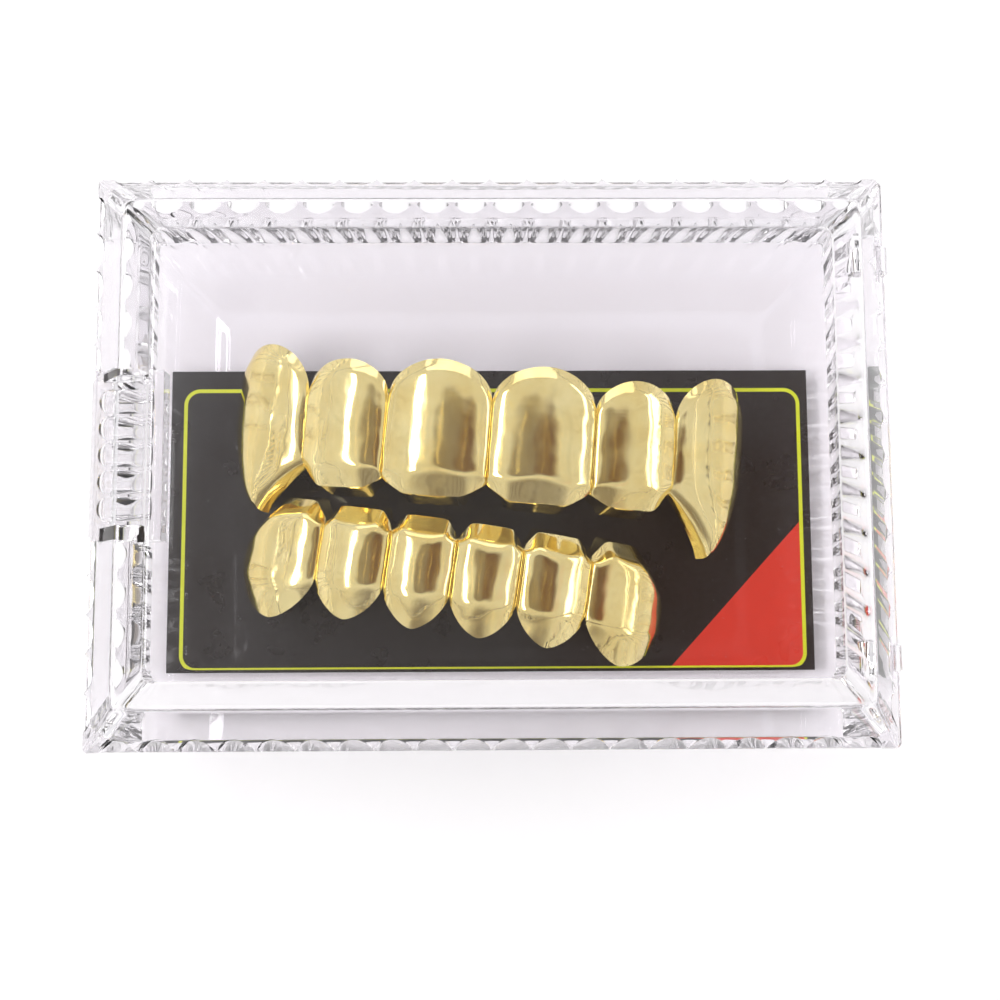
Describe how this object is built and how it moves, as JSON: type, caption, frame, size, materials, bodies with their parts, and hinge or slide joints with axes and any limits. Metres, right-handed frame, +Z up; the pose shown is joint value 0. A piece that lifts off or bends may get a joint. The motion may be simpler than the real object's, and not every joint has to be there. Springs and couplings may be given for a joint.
{
  "type": "vampire fang denture pair in hinged display box",
  "caption": "Upper and lower gold-coloured tooth grills with long pointed fangs, lying on a printed card in a clear fluted box with a bevelled hinged lid.",
  "frame": {"origin": "middle of the box's underside", "axes": "+X along the box towards its hinge, +Y towards the gum side of the upper denture, +Z up out of the lid"},
  "size_m": [0.076, 0.0546, 0.0215],
  "materials": {
    "clear_plastic": "clear moulded polystyrene, glossy",
    "printed_card": "black print with a thin yellow-green border line and a red corner, glossy",
    "gold_plate": "polished pale gold plating"
  },
  "bodies": {
    "tray": {"box_base": "clear_plastic", "display_card": "printed_card", "upper_denture": "gold_plate", "lower_denture": "gold_plate"},
    "lid": {"box_lid": "clear_plastic"}
  },
  "joints": [
    {"name": "lid_hinge", "type": "hinge", "parent": "tray", "child": "lid", "pos_m": [0.0368, 0, 0.0154], "axis": [0, 1, 0], "range_deg": [0, 105]}
  ]
}
